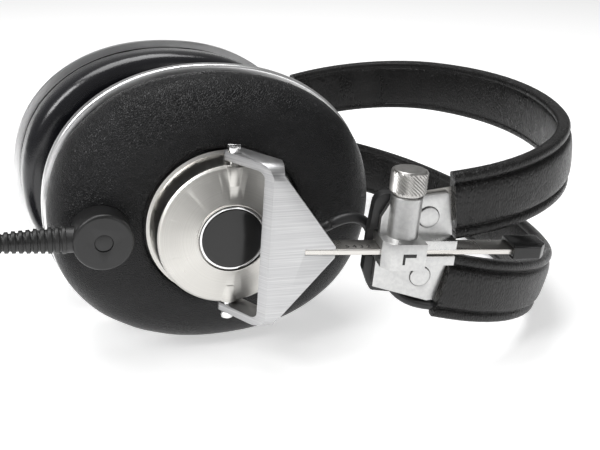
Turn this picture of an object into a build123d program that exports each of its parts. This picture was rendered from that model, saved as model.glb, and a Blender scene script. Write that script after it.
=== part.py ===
from build123d import *
import os
from math import atan, copysign, cos, degrees, pi, radians, sin, tan

# Closed-back stereo headphones of the 1970s, lying on one side as they are put down on a table.
# X runs from the ear cups to the crown of the headband, Y across the head, Z up.
# The left side stands at -Y. Each piece is drawn in the frame of its own assembly:
#   side frame   origin on the front of the yoke, X along the slider arm, Y in towards the head
#   cup frame    origin on the hinge axis of the cup, axes as the side frame before the cup turns
#   band frame   origin on the middle plane of the head, X towards the crown
# Millimetres throughout.

# ---- how the assemblies stand ----
LIE_TILT = 4.0  # the crown rests lower than the hinge axis
AXIS_HEIGHT = 47.125  # of the hinge centre above the table
YOKE_X = -33.347  # of the yoke front, from the middle of the object
MIDDLE_Y = 0.67  # of the head's middle plane: the right arm is out further, so the left cup reaches wider
HALF_SPAN = 69.7  # yoke front to the middle plane of the head
ARM_TOE = 10.3  # each arm closes in towards the cups by this angle
CUP_TURN = 8.2  # of the cup on its hinge
RIGHT_PULL = 7.5  # the right arm is pulled out further than the left

# ---- clearances ----
RUN = 0.05  # radial, a pin in its hole
SLIP = 0.25  # a part that slides in a channel
SOFT_GAP = 0.4  # round a soft piece

# ---- ear cup ----
CUP_X = 58.0  # half width of the chrome ring
CUP_Z = 49.8  # half height of the chrome ring
OVAL_POWER = 2.17  # a little squarer than an ellipse
RING_FRONT = 27.6  # depth behind the hinge axis
RING_DEPTH = 3.4
RING_WIDTH = 2.4
LEATHER = 2.6
SHELL_WALL = 2.0
COVER_FACE = 7.9  # depth of the leather face at the hub
COVER_STEPS = [  # depth behind the face, inset from the chrome ring
    (0.0, 20.5),
    (1.7, 12.0),
    (5.6, 5.4),
    (12.6, 1.6),
    (17.0, 1.7),
    (19.3, 3.0),
]
BAFFLE = 2.0
PAD_DEPTH = 15.5
PAD_WIDTH = 24.5
PAD_INSET = 2.0  # of the pad from the chrome ring
PAD_ROUND = 6.0
FOAM = 2.4

# ---- hub ----
HUB_R = 24.0  # at the front edge
HUB_FLARE_R = 25.0  # where the side meets the base ring
HUB_RING_R = 26.2
HUB_FRONT = -1.9
HUB_WALL = 2.2
HUB_RISE = 1.7  # of the shallow cone
HUB_RIM_R = 11.8
CAP_R = 10.2
CAP_RING = 0.7
CAP_GAP = 0.5

# ---- hinge ----
PIVOT_X = -10.8  # in the side frame
PIVOT_Y = 15.0
PIVOT_PIN_R = 1.5
PIVOT_HEAD_R = 2.1
PIVOT_HEAD = 2.3

# ---- driver ----
DRIVER_R = 33.0
CONE_R = 28.0
MAGNET_R = 14.0

# ---- yoke ----
YOKE_HALF = 27.85
YOKE_PLATE = 2.8
YOKE_APEX = 21.0
YOKE_TIP = 0.95
YOKE_SHOULDER_X = 3.2
YOKE_BEND = 2.2  # inside radius
FLANGE_WIDTH = 7.5
FLANGE_END = (-14.5, 16.3)
SLOT_END = 11.2

# ---- slider arm ----
ARM_DEPTH = 8.2
ARM_THICK = 1.9
ARM_END = 88.0
END_CAP = (12.0, 10.4, 4.8)

# ---- clamp ----
CLAMP_X = 43.7  # thumbscrew axis
BLOCK_X = (35.8, 49.8)
BLOCK_FRONT = -4.4
BLOCK_HALF = 4.5
BLOCK_CHAMFER = (2.4, 3.2)
LIP_END = 61.0
LIP_FRONT = -1.0
LIP_HALF = 4.3
WING_FRONT = 4.2
WING_PLATE = 2.0
BOSS_R = 5.2
BOSS_TOP = 18.3
RIVET_R = 3.7
RIVET_GAP = 0.2  # of the head in its recess
RIVET_HEAD = 0.5
RIVET_AT = (52.0, 10.6)
BACKING = 2.2
BACKING_ROUND = (4.0, 3.0, 2.4, 2.0)  # its corners, from the top round to the foot
PLATE_INSET = 1.6  # of the backing plate from the folded end of the strap

# ---- thumbscrew ----
KNOB_R = 5.3
KNOB = (18.9, 26.9)
KNOB_NECK_R = 4.4
STEM_R = 2.0

# ---- headband ----
SPLAY = 10.8  # of each strap from the middle
SPLAY_X = -14.8  # where the two strap planes cross, in the band frame
CROWN = 153.2  # from there to the outside of the crown
CROWN_R = 112.0
CROWN_ARC = 25.6
STRAP_WIDTH = 23.4
STRAP = 6.0
STRAP_START = 76.2  # from the crossing to the folded end
CORE = 0.6
CORE_SLOT = 1.4  # between the casting and the plate behind it
CORE_TAIL = 12.0  # of the spring steel past the folded end
CORE_WIDTH = 12.0
STRAP_FACE = 1.8  # outside of the strap behind the yoke front, where it leaves the clamp

# ---- leads ----
PUCK_INSET = 17.8  # of the cable outlet's centre from the edge of the cup
PUCK_AT = (PUCK_INSET - CUP_X, -0.7)
PUCK_R = 9.4
PUCK = (8.6, -0.6)
LEAD_R = 1.8
CORD_R = 2.2
CORD_AXIS = 4.3  # depth of the cord outlet behind the hinge axis
RELIEF_NECK_R = 4.2
RELIEF_LENGTH = 21.0
RELIEF_RIBS = 10
RELIEF_R = (4.4, 3.2)
JACK_R = 3.175
JACK = 30.5
JACK_BODY_R = 6.0
JACK_BODY = 34.0
COIL_R = 26.0  # at the middle of the turns
COIL_AT = (-166.0, -20.0)
COIL_WALL = 13.2  # three turns side by side
COIL_HEIGHT = 20.4  # five layers, each nested in the one below
COIL_TURNS = 14
CORD_SINK = 1.0  # of a cord into the coil it joins
LEAD_EXIT = (31.0, 0.5)  # in the cup frame, beside the hub

os.makedirs("parts", exist_ok=True)


# ---- where each assembly stands ----
def swing(x, y, z, about_z):
    return Location((x, y, z), (0, 0, about_z))


table = Location((0, MIDDLE_Y, AXIS_HEIGHT), (0, LIE_TILT, 0))
band_home = table * swing(YOKE_X, 0, 0, 0)
left_home = table * swing(YOKE_X, -HALF_SPAN, 0, -ARM_TOE)
right_home = table * swing(YOKE_X, HALF_SPAN, 0, ARM_TOE)
left_arm_home = left_home
right_arm_home = right_home * swing(-RIGHT_PULL, 0, 0, 0)
left_cup_home = left_arm_home * swing(PIVOT_X, PIVOT_Y, 0, CUP_TURN)
right_cup_home = right_arm_home * swing(PIVOT_X, -PIVOT_Y, 0, -CUP_TURN)


def write(shape, name):
    shape.label = name
    export_step(shape, f"parts/{name}.step")


def write_left(piece, name, home):
    with BuildPart() as placed:
        add(piece.part.moved(home))
    write(placed.part, name)


def write_right(piece, name, home):
    with BuildPart() as placed:
        add(piece.part.mirror(Plane.XZ).moved(home))
    write(placed.part, name)


def write_pair(piece, name, left, right):
    write_left(piece, f"{name}_left", left)
    write_right(piece, f"{name}_right", right)


def depth(y):
    """The plane that faces out of the cup, this far in behind the hinge axis or the yoke front."""
    return Plane.XZ.offset(-y)


def oval(half_x, half_z, count=28):
    """A filled oval, a little squarer than an ellipse."""
    rim = []
    for step in range(count):
        angle = 2 * pi * step / count
        across, up = cos(angle), sin(angle)
        x = half_x * copysign(abs(across) ** (2 / OVAL_POWER), across)
        z = half_z * copysign(abs(up) ** (2 / OVAL_POWER), up)
        rim.append((x, z))
    with BuildSketch(mode=Mode.PRIVATE) as face:
        with BuildLine():
            Spline(*rim, periodic=True)
        make_face()
    return face.sketch


def cup_oval(inset):
    return oval(CUP_X - inset, CUP_Z - inset)


# ---- ear cup: leather cover and the shell beneath it ----
ring_back = RING_FRONT + RING_DEPTH
shell_face = COVER_FACE + LEATHER
shell_back = ring_back - BAFFLE


def dome(set_in, back):
    """The outside of the cup, set in by a wall and cut square at the back."""
    with BuildPart(mode=Mode.PRIVATE) as solid:
        for step_depth, inset in COVER_STEPS:
            with BuildSketch(depth(COVER_FACE + set_in + step_depth)):
                add(cup_oval(inset + set_in))
        loft()
        split(bisect_by=depth(back), keep=Keep.TOP)
    return solid.part


with BuildPart() as cup_cover:
    add(dome(0, RING_FRONT - SOFT_GAP))
    add(dome(LEATHER, ring_back), mode=Mode.SUBTRACT)
    with BuildSketch(depth(shell_face)):
        Circle(HUB_RING_R + SOFT_GAP)
    extrude(amount=2 * LEATHER, mode=Mode.SUBTRACT)

with BuildPart() as cup_shell:
    add(dome(LEATHER, shell_back))
    add(dome(LEATHER + SHELL_WALL, ring_back), mode=Mode.SUBTRACT)

with BuildPart() as chrome_ring:
    with BuildSketch(depth(ring_back)):
        add(cup_oval(0))
        add(cup_oval(RING_WIDTH), mode=Mode.SUBTRACT)
    extrude(amount=RING_DEPTH)
    rims = chrome_ring.edges().group_by(Axis.Y)[0]
    fillet(rims.sort_by(SortBy.LENGTH)[-1], RING_WIDTH / 2)

with BuildPart() as baffle:
    with BuildSketch(depth(ring_back)):
        add(cup_oval(RING_WIDTH + SOFT_GAP))
        Circle(CONE_R, mode=Mode.SUBTRACT)
    extrude(amount=BAFFLE)

# ---- driver, behind the baffle ----
driver_front = shell_back

with BuildPart() as driver_basket:
    with BuildSketch(Plane.XY):
        with BuildLine():
            Polyline(
                (CONE_R, driver_front),
                (DRIVER_R, driver_front),
                (DRIVER_R, driver_front - 2),
                (CONE_R + 1.5, driver_front - 2),
                (MAGNET_R + 4, driver_front - 9),
                (MAGNET_R - 6, driver_front - 9),
                (MAGNET_R - 6, driver_front - 7.5),
                (MAGNET_R + 3, driver_front - 7.5),
                (CONE_R, driver_front - 1.5),
                close=True,
            )
        make_face()
    revolve(axis=Axis.Y)

with BuildPart() as driver_magnet:
    with BuildSketch(depth(driver_front - 9)):
        Circle(MAGNET_R)
    extrude(amount=5.5)
    chamfer(driver_magnet.faces().sort_by(Axis.Y)[0].edges(), 0.8)

with BuildPart() as driver_cone:
    with BuildSketch(Plane.XY):
        with BuildLine():
            Polyline(
                (0, driver_front - 4.6),
                (8, driver_front - 4.6),
                (CONE_R - 5, driver_front - 1.2),
                (CONE_R - SOFT_GAP, driver_front - 0.6),
                (CONE_R - SOFT_GAP, driver_front),
                (CONE_R - 5, driver_front - 0.6),
                (8, driver_front - 4),
                (0, driver_front - 4),
                close=True,
            )
        make_face()
    revolve(axis=Axis.Y)

# ---- ear pad and the foam disc inside it ----
pad_front = ring_back + PAD_DEPTH
pad_opening = PAD_INSET + PAD_WIDTH

with BuildPart() as ear_pad:
    with BuildSketch(depth(pad_front)):
        add(cup_oval(PAD_INSET))
        add(cup_oval(pad_opening), mode=Mode.SUBTRACT)
    extrude(amount=PAD_DEPTH)
    fillet(ear_pad.edges().group_by(Axis.Y)[-1], PAD_ROUND)

with BuildPart() as pad_foam:
    with BuildSketch(depth(ring_back + FOAM)):
        add(cup_oval(pad_opening + SOFT_GAP))
    extrude(amount=FOAM)

# ---- hub: a turned housing on the outside of the cup ----
hub_slope = (HUB_FLARE_R - HUB_R) / (COVER_FACE - HUB_FRONT)
hub_side_r = HUB_R - hub_slope * HUB_FRONT  # at the hinge axis
cap_face = HUB_FRONT - HUB_RISE
rim_r = CAP_R + CAP_RING + CAP_GAP

with BuildPart() as hub_housing:
    with BuildSketch(Plane.XY):
        with BuildLine():
            Polyline(
                (HUB_RING_R, shell_face),
                (HUB_RING_R, COVER_FACE),
                (HUB_FLARE_R, COVER_FACE),
                (HUB_R, HUB_FRONT + 0.8),
                (HUB_R - 0.8, HUB_FRONT),
                (HUB_RIM_R, cap_face),
                (HUB_RIM_R, cap_face - 0.6),
                (rim_r, cap_face - 0.6),
                (rim_r, cap_face + 1.6),
                (0, cap_face + 1.6),
                (0, cap_face + 1.6 + HUB_WALL),
                (rim_r + 2, cap_face + 1.6 + HUB_WALL),
                (HUB_R - 2 * HUB_WALL, HUB_FRONT + HUB_WALL),
                (HUB_R - HUB_WALL, HUB_FRONT + 2 * HUB_WALL),
                (HUB_FLARE_R - HUB_WALL, shell_face),
                close=True,
            )
        make_face()
    revolve(axis=Axis.Y)
    for side in (1, -1):
        with BuildSketch(Plane.XY.offset(side * (HUB_R - 3 * HUB_WALL))):
            Circle(PIVOT_PIN_R + 1.6)
        extrude(amount=side * 3 * HUB_WALL - side * 0.4)
    with BuildSketch(Plane.XY.offset(-YOKE_HALF)):
        Circle(PIVOT_PIN_R + RUN)
    extrude(amount=2 * YOKE_HALF, mode=Mode.SUBTRACT)

with BuildPart() as hub_cap:
    with BuildSketch(depth(cap_face + 1.6)):
        Circle(CAP_R)
    extrude(amount=2.1)
    fillet(hub_cap.faces().sort_by(Axis.Y)[0].edges(), 0.4)

with BuildPart() as hub_cap_ring:
    with BuildSketch(depth(cap_face + 1.6)):
        Circle(CAP_R + CAP_RING)
        Circle(CAP_R, mode=Mode.SUBTRACT)
    extrude(amount=1.9)

# ---- yoke: bent plate, drawn in the side frame ----
flange_run = Vector(FLANGE_END[0], FLANGE_END[1])
flange_dir = flange_run.normalized()
flange_side = Vector(flange_dir.Y, -flange_dir.X) * FLANGE_WIDTH
web_height = YOKE_HALF - YOKE_PLATE

with BuildPart() as yoke:
    # the bent section, front plate and both flanges, as deep as the flanges reach
    with BuildSketch(Plane.YZ.offset(FLANGE_END[0] - FLANGE_WIDTH)):
        with Locations((PIVOT_Y, 0)):
            Rectangle(2 * PIVOT_Y, 2 * YOKE_HALF)
        with Locations((PIVOT_Y + YOKE_PLATE, 0)):
            Rectangle(2 * PIVOT_Y, 2 * web_height, mode=Mode.SUBTRACT)
    extrude(amount=YOKE_APEX + FLANGE_WIDTH - FLANGE_END[0])
    fillet(yoke.edges().filter_by(Axis.X).group_by(Axis.Y)[0], YOKE_BEND + YOKE_PLATE)
    inner = yoke.edges().filter_by(Axis.X).filter_by_position(Axis.Y, YOKE_PLATE - 0.1, YOKE_PLATE + 0.1)
    fillet(inner, YOKE_BEND)
    # the outline from above: a strip that runs back to the hinge, and the plate in front
    with BuildSketch(Plane.XY.offset(-YOKE_HALF)):
        with BuildLine():
            Polyline(
                (0, 0),
                FLANGE_END,
                (FLANGE_END[0] + flange_side.X, FLANGE_END[1] + flange_side.Y),
                (YOKE_SHOULDER_X, flange_side.Y + (YOKE_SHOULDER_X - flange_side.X) * flange_dir.Y / flange_dir.X),
                (YOKE_SHOULDER_X, YOKE_PLATE + YOKE_BEND),
                (YOKE_APEX, YOKE_PLATE + YOKE_BEND),
                (YOKE_APEX, 0),
                close=True,
            )
        make_face()
    extrude(amount=2 * YOKE_HALF, mode=Mode.INTERSECT)
    # the outline from the front: a triangle that ends in a blunt tip
    with BuildSketch(depth(-YOKE_PLATE)):
        with BuildLine():
            Polyline(
                (FLANGE_END[0] - FLANGE_WIDTH, YOKE_HALF),
                (YOKE_SHOULDER_X, YOKE_HALF),
                (YOKE_SHOULDER_X, YOKE_HALF - YOKE_PLATE),
                (YOKE_APEX, YOKE_TIP + ARM_THICK / 2),
                (YOKE_APEX, -YOKE_TIP - ARM_THICK / 2),
                (YOKE_SHOULDER_X, YOKE_PLATE - YOKE_HALF),
                (YOKE_SHOULDER_X, -YOKE_HALF),
                (FLANGE_END[0] - FLANGE_WIDTH, -YOKE_HALF),
                close=True,
            )
        make_face()
    extrude(amount=-3 * PIVOT_Y, mode=Mode.INTERSECT)
    # slot for the arm
    with BuildSketch(depth(-YOKE_PLATE)):
        with Locations((SLOT_END + YOKE_APEX / 2, 0)):
            Rectangle(YOKE_APEX, ARM_THICK + RUN)
    extrude(amount=-3 * PIVOT_Y, mode=Mode.SUBTRACT)
    ends = yoke.edges().filter_by(Axis.Z).group_by(Axis.X)[:2]
    for corner in ends:
        fillet([e for e in corner if abs(e.length - YOKE_PLATE) < 0.1], 1.6)
    with BuildSketch(Plane.XY.offset(-YOKE_HALF)):
        with Locations((PIVOT_X, PIVOT_Y)):
            Circle(PIVOT_PIN_R + RUN)
    extrude(amount=2 * YOKE_HALF, mode=Mode.SUBTRACT)

with BuildPart() as pivot_screws:
    for side in (1, -1):
        with BuildSketch(Plane.XY.offset(side * YOKE_HALF)):
            with Locations((PIVOT_X, PIVOT_Y)):
                Circle(PIVOT_HEAD_R)
        extrude(amount=side * PIVOT_HEAD)
        with BuildSketch(Plane.XY.offset(side * (YOKE_HALF + PIVOT_HEAD))):
            with Locations((PIVOT_X, PIVOT_Y)):
                Rectangle(3 * PIVOT_HEAD_R, 0.8)
        extrude(amount=-side * 0.9, mode=Mode.SUBTRACT)
        with BuildSketch(Plane.XY.offset(side * (HUB_R - 2.4 * HUB_WALL))):
            with Locations((PIVOT_X, PIVOT_Y)):
                Circle(PIVOT_PIN_R)
        extrude(amount=side * (YOKE_HALF - HUB_R + 2.4 * HUB_WALL))

# ---- slider arm and its end cap ----
cap_long, cap_deep, cap_high = END_CAP
cap_start = ARM_END - cap_long + 5.5
cap_middle_y = ARM_DEPTH / 2 + RUN

with BuildPart() as slider_arm:
    with BuildSketch(Plane.XY.offset(-ARM_THICK / 2)):
        with Locations(((SLOT_END + RUN + ARM_END) / 2, ARM_DEPTH / 2)):
            Rectangle(ARM_END - SLOT_END - RUN, ARM_DEPTH)
    extrude(amount=ARM_THICK)
    chamfer(slider_arm.edges().filter_by(Axis.X), 0.2)

with BuildPart() as arm_end_cap:
    with BuildSketch(Plane.XY.offset(-cap_high / 2)):
        with Locations((cap_start + cap_long / 2, cap_middle_y)):
            Rectangle(cap_long, cap_deep)
    extrude(amount=cap_high)
    chamfer(arm_end_cap.edges().filter_by(Axis.Z).group_by(Axis.X)[-1].sort_by(Axis.Y)[0], 2.6)
    fillet(arm_end_cap.edges().filter_by(Axis.X), 0.8)
    with BuildSketch(Plane.XY.offset(-ARM_THICK / 2)):
        with Locations(((cap_start + ARM_END) / 2 - cap_long / 2, ARM_DEPTH / 2)):
            Rectangle(ARM_END - cap_start + cap_long, ARM_DEPTH)
    extrude(amount=ARM_THICK, mode=Mode.SUBTRACT)

# ---- clamp casting on the end of the headband ----
wing_back = WING_FRONT + WING_PLATE
band_tan = tan(radians(SPLAY))
channel_half = ARM_THICK / 2 + SLIP
ridge_back = ARM_DEPTH + SLIP + 0.8


def wing_right(z):
    """The edge of the wing beside the folded end of the strap, square to that strap."""
    return LIP_END - band_tan * (abs(z) - BLOCK_HALF)


with BuildPart() as clamp_casting:
    # wings
    with BuildSketch(depth(wing_back)):
        with BuildLine():
            Polyline(
                (36.2, 0),
                (36.2, 10.5),
                (39.4, 16.8),
                (wing_right(19) - 9.2, 17.6),
                (wing_right(19), 19),
                (wing_right(0), 0),
                (wing_right(19.4), -19.4),
                (wing_right(19.4) - 2.6, -19.8),
                (35.9, -14.2),
                (36.0, -5.6),
                close=True,
            )
        make_face()
    extrude(amount=WING_PLATE)
    fillet(clamp_casting.edges().filter_by(Axis.Y).sort_by(Axis.Z)[-1], 1.2)
    # block with its cut corner
    with BuildSketch(Plane.XY.offset(-BLOCK_HALF)):
        with BuildLine():
            Polyline(
                (BLOCK_X[0], BLOCK_FRONT + BLOCK_CHAMFER[1]),
                (BLOCK_X[0] + BLOCK_CHAMFER[0], BLOCK_FRONT),
                (BLOCK_X[1], BLOCK_FRONT),
                (BLOCK_X[1], ridge_back),
                (BLOCK_X[0], ridge_back),
                close=True,
            )
        make_face()
    extrude(amount=2 * BLOCK_HALF)
    # lips that carry the arm on
    with BuildSketch(depth(ridge_back)):
        with Locations(((BLOCK_X[1] + LIP_END) / 2, 0)):
            Rectangle(LIP_END - BLOCK_X[1], 2 * LIP_HALF)
    extrude(amount=ridge_back - LIP_FRONT)
    # boss for the thumbscrew
    with BuildSketch(Plane.XY.offset(BLOCK_HALF)):
        with Locations((CLAMP_X, ARM_DEPTH / 2)):
            Circle(BOSS_R)
        with Locations((CLAMP_X, wing_back + BOSS_R)):
            Rectangle(4 * BOSS_R, 2 * BOSS_R, mode=Mode.SUBTRACT)
    extrude(amount=BOSS_TOP - BLOCK_HALF)
    chamfer(clamp_casting.faces().filter_by(Axis.Z).sort_by(Axis.Z)[-1].edges(), 0.3)
    # channel for the arm, open at the front beside the block
    with BuildSketch(Plane.YZ.offset(BLOCK_X[0] - 5)):
        with Locations((ARM_DEPTH / 2, 0)):
            Rectangle(ARM_DEPTH + 2 * SLIP, 2 * channel_half)
    extrude(amount=LIP_END - BLOCK_X[0] + 10, mode=Mode.SUBTRACT)
    with BuildSketch(Plane.YZ.offset(BLOCK_X[1])):
        with Locations((LIP_FRONT, 0)):
            Rectangle(4, 2 * channel_half)
    extrude(amount=LIP_END - BLOCK_X[1], mode=Mode.SUBTRACT)
    # thread of the thumbscrew
    with BuildSketch(Plane.XY.offset(BOSS_TOP)):
        with Locations((CLAMP_X, ARM_DEPTH / 2)):
            Circle(STEM_R + RUN)
    extrude(amount=channel_half - BOSS_TOP, mode=Mode.SUBTRACT)
    # rivet holes
    with BuildSketch(depth(wing_back)):
        with Locations(RIVET_AT, (RIVET_AT[0], -RIVET_AT[1])):
            Circle(RIVET_R)
    extrude(amount=wing_back - LIP_FRONT + 5, mode=Mode.SUBTRACT)


# ---- thumbscrew ----
knob_bottom, knob_top = KNOB

with BuildPart() as thumbscrew:
    with BuildSketch(Plane.XY.offset(knob_bottom)):
        with Locations((CLAMP_X, ARM_DEPTH / 2)):
            Circle(KNOB_R)
    extrude(amount=knob_top - knob_bottom)
    chamfer(thumbscrew.edges().group_by(Axis.Z)[-1], 0.4)
    with BuildSketch(Plane.XY.offset(BOSS_TOP + RUN)):
        with Locations((CLAMP_X, ARM_DEPTH / 2)):
            Circle(KNOB_NECK_R)
    extrude(amount=knob_bottom - BOSS_TOP - RUN)
    with BuildSketch(Plane.XY.offset(ARM_THICK / 2 + RUN)):
        with Locations((CLAMP_X, ARM_DEPTH / 2)):
            Circle(STEM_R)
    extrude(amount=BOSS_TOP - ARM_THICK / 2)

# ---- plate behind the casting, and the rivets ----
backing_front = wing_back + CORE_SLOT
plate_back = ridge_back + SLIP + BACKING

with BuildPart() as backing_plate:
    with BuildSketch(depth(plate_back)):
        with BuildLine():
            outline = FilletPolyline(
                (wing_right(17) - PLATE_INSET, 17),
                (34.8, 17.3),
                (33.6, 4.0),
                (33.2, -10.0),
                (36.2, -17.2),
                (wing_right(19) - PLATE_INSET, -19.4),
                radius=BACKING_ROUND,
            )
            Line(outline @ 0, (wing_right(0) - PLATE_INSET, 0))
            Line((wing_right(0) - PLATE_INSET, 0), outline @ 1)
        make_face()
    extrude(amount=plate_back - backing_front)
    with BuildSketch(Plane.YZ.offset(BLOCK_X[0] - 5)):
        with Locations((ridge_back + SLIP - BLOCK_HALF, 0)):
            Rectangle(2 * BLOCK_HALF, 2 * (BLOCK_HALF + SLIP))
    extrude(amount=LIP_END, mode=Mode.SUBTRACT)
    with BuildSketch(depth(plate_back)):
        with Locations(RIVET_AT, (RIVET_AT[0], -RIVET_AT[1])):
            Circle(RIVET_R / 2)
    extrude(amount=plate_back - backing_front, mode=Mode.SUBTRACT)

with BuildPart() as band_rivets:
    with BuildSketch(depth(wing_back)):
        with Locations(RIVET_AT, (RIVET_AT[0], -RIVET_AT[1])):
            Circle(RIVET_R - RIVET_GAP)
    extrude(amount=WING_PLATE + RIVET_HEAD)
    chamfer(band_rivets.edges().group_by(Axis.Y)[0], 0.2)
    with BuildSketch(depth(plate_back)):
        with Locations(RIVET_AT, (RIVET_AT[0], -RIVET_AT[1])):
            Circle(RIVET_R / 2 - RUN)
    extrude(amount=plate_back - wing_back)

# ---- headband: two straps, each a leather sleeve on a spring-steel core ----
# Each strap is bent in a plane of its own. It leaves the clamp flat against the wing, so its
# end turns in by the angle that the arm's toe-in makes in that plane.
end_turn = degrees(atan(cos(radians(SPLAY)) * tan(radians(ARM_TOE))))
side_turn = 90 + end_turn - CROWN_ARC
toe_sin, toe_cos = sin(radians(ARM_TOE)), cos(radians(ARM_TOE))
splay_cos, splay_sin = cos(radians(SPLAY)), sin(radians(SPLAY))


def arm_depth_of(u, v):
    """How far behind the yoke front a point of the strap plane lies."""
    return (SPLAY_X + u * splay_cos) * toe_sin + (v + HALF_SPAN) * toe_cos


arc_u = CROWN - CROWN_R + CROWN_R * cos(radians(CROWN_ARC))
arc_v = -CROWN_R * sin(radians(CROWN_ARC))
end_angle = radians(CROWN_ARC + side_turn)
reach_u = cos(end_angle) - cos(radians(CROWN_ARC))
reach_v = sin(radians(CROWN_ARC)) - sin(end_angle)
side_r = (STRAP_FACE - arm_depth_of(arc_u, arc_v)) / (reach_u * splay_cos * toe_sin + reach_v * toe_cos)


def band_strip(outside, inside, start):
    """The U between two depths below the outside face, from one folded end to the other."""
    with BuildSketch(mode=Mode.PRIVATE) as strip:
        with BuildLine():
            tails = []
            for set_in in (outside, inside):
                crown = CenterArc((CROWN - CROWN_R, 0), CROWN_R - set_in, -CROWN_ARC, 2 * CROWN_ARC)
                near = JernArc(crown @ 0, (crown % 0) * -1, side_r - set_in, -side_turn)
                far = JernArc(crown @ 1, crown % 1, side_r - set_in, side_turn)
                for side in (near, far):
                    tail = Line(side @ 1, side @ 1 + (side % 1) * ((start - (side @ 1).X) / (side % 1).X))
                    tails.append(tail @ 1)
            Line(tails[0], tails[2])
            Line(tails[1], tails[3])
        make_face()
    return strip.sketch


def strap_plane(side):
    return Plane((SPLAY_X, 0, 0), x_dir=(splay_cos, 0, side * splay_sin), z_dir=(-side * splay_sin, 0, splay_cos))


core_set = wing_back + CORE_SLOT / 2 - STRAP_FACE - CORE / 2


def strap(side):
    with BuildPart() as sleeve:
        with BuildSketch(strap_plane(side)):
            add(band_strip(0, STRAP, STRAP_START))
        extrude(amount=STRAP_WIDTH / 2, both=True)
        with BuildSketch(strap_plane(side)):
            add(band_strip(core_set - RUN, core_set + CORE + RUN, STRAP_START - CORE_TAIL))
        extrude(amount=CORE_WIDTH / 2 + RUN, both=True, mode=Mode.SUBTRACT)
    return sleeve


def strap_core(side):
    with BuildPart() as spring:
        with BuildSketch(strap_plane(side)):
            add(band_strip(core_set, core_set + CORE, STRAP_START - CORE_TAIL))
        extrude(amount=CORE_WIDTH / 2, both=True)
        # holes for the rivets
        for end in (-1, 1):
            rivet = swing(0, end * HALF_SPAN, 0, end * ARM_TOE) * Pos(RIVET_AT[0], 0, side * RIVET_AT[1])
            with BuildSketch(Plane(rivet.position, x_dir=(0, 0, 1), z_dir=(-end * toe_sin, toe_cos, 0)).offset(-20)):
                Circle(RIVET_R / 2 + SLIP)
            extrude(amount=40, mode=Mode.SUBTRACT)
    return spring


strap_upper = strap(1)
strap_lower = strap(-1)
strap_core_upper = strap_core(1)
strap_core_lower = strap_core(-1)

# ---- cable outlet on the left cup ----
puck_back, puck_front = PUCK

with BuildPart() as cable_puck:
    with BuildSketch(depth(puck_back + 3)):
        with Locations(PUCK_AT):
            Circle(PUCK_R)
    extrude(amount=puck_back + 3 - puck_front)
    fillet(cable_puck.faces().sort_by(Axis.Y)[0].edges(), 1.2)
    add(dome(-SLIP, ring_back), mode=Mode.SUBTRACT)
    with BuildSketch(Plane.YZ.offset(PUCK_AT[0])):
        with Locations((CORD_AXIS, PUCK_AT[1])):
            Circle(RELIEF_NECK_R)
    extrude(amount=-PUCK_R - 1.6)
    with BuildSketch(depth(puck_front)):
        with Locations(PUCK_AT):
            Circle(2.9)
    extrude(amount=-1.2, mode=Mode.SUBTRACT)

with BuildPart() as puck_plug:
    with BuildSketch(depth(puck_front + 1.2)):
        with Locations(PUCK_AT):
            Circle(2.9 - RUN)
    extrude(amount=0.9)

relief_start = PUCK_AT[0] - PUCK_R - 1.6

with BuildPart() as strain_relief:
    rib_pitch = RELIEF_LENGTH / RELIEF_RIBS
    for rib in range(RELIEF_RIBS):
        rib_r = RELIEF_R[0] + (RELIEF_R[1] - RELIEF_R[0]) * rib / (RELIEF_RIBS - 1)
        x = relief_start - rib * rib_pitch
        with BuildSketch(Plane.YZ.offset(x)):
            with Locations((CORD_AXIS, PUCK_AT[1])):
                Circle(rib_r)
        extrude(amount=-0.62 * rib_pitch)
        with BuildSketch(Plane.YZ.offset(x - 0.62 * rib_pitch)):
            with Locations((CORD_AXIS, PUCK_AT[1])):
                Circle(rib_r - 0.7)
        extrude(amount=-0.38 * rib_pitch)

# ---- cords ----
def run_between(first, second):
    return (Vector(second) - Vector(first)).length


def bend_radii(points):
    """The radius at each inner point: as wide an arc as the shorter of its two runs allows."""
    radii = []
    for before, at, after in zip(points, points[1:], points[2:]):
        half_turn = radians((Vector(at) - Vector(before)).get_angle(Vector(after) - Vector(at)) / 2)
        shorter = min(run_between(before, at), run_between(at, after))
        radii.append(0.45 * shorter / tan(half_turn))
    return radii


def tube(points, radius):
    """A cord along these points, its corners rounded to arcs."""
    radii = bend_radii(points)
    with BuildPart() as cord:
        with BuildLine():
            route = FilletPolyline(*points, radius=radii)
        with BuildSketch(Plane(origin=route @ 0, z_dir=route % 0)):
            Circle(radius)
        sweep()
    print("cord of", round(route.length, 1), "mm, bends", [round(bend, 1) for bend in radii])
    print("  volume", round(cord.part.volume), "against", round(pi * radius**2 * route.length))
    return cord


def lead(pull):
    """From the cup to the folded end of the lower strap, slack enough for the arm's travel."""
    turned = swing(PIVOT_X, PIVOT_Y, 0, CUP_TURN) * Pos(LEAD_EXIT[0], COVER_FACE - SOFT_GAP, LEAD_EXIT[1])
    leaves = turned.position - Vector(pull, 0, 0)
    points = [
        leaves,
        (leaves.X, 12.2, 2.4),
        (28.0 - pull / 2, 12.2, 7.2),
        (35.6, plate_back + LEAD_R + 0.6, 4.4),
        (40.0, plate_back + LEAD_R + 0.8, -8.0),
        (46.0, plate_back + LEAD_R + 0.6, -20.6),
        (54.5, 9.6, -24.4),
        (60.0, 6.0, -22.6),
    ]
    return tube(points, LEAD_R)


cup_lead_left = lead(0)
cup_lead_right = lead(RIGHT_PULL)

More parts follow.
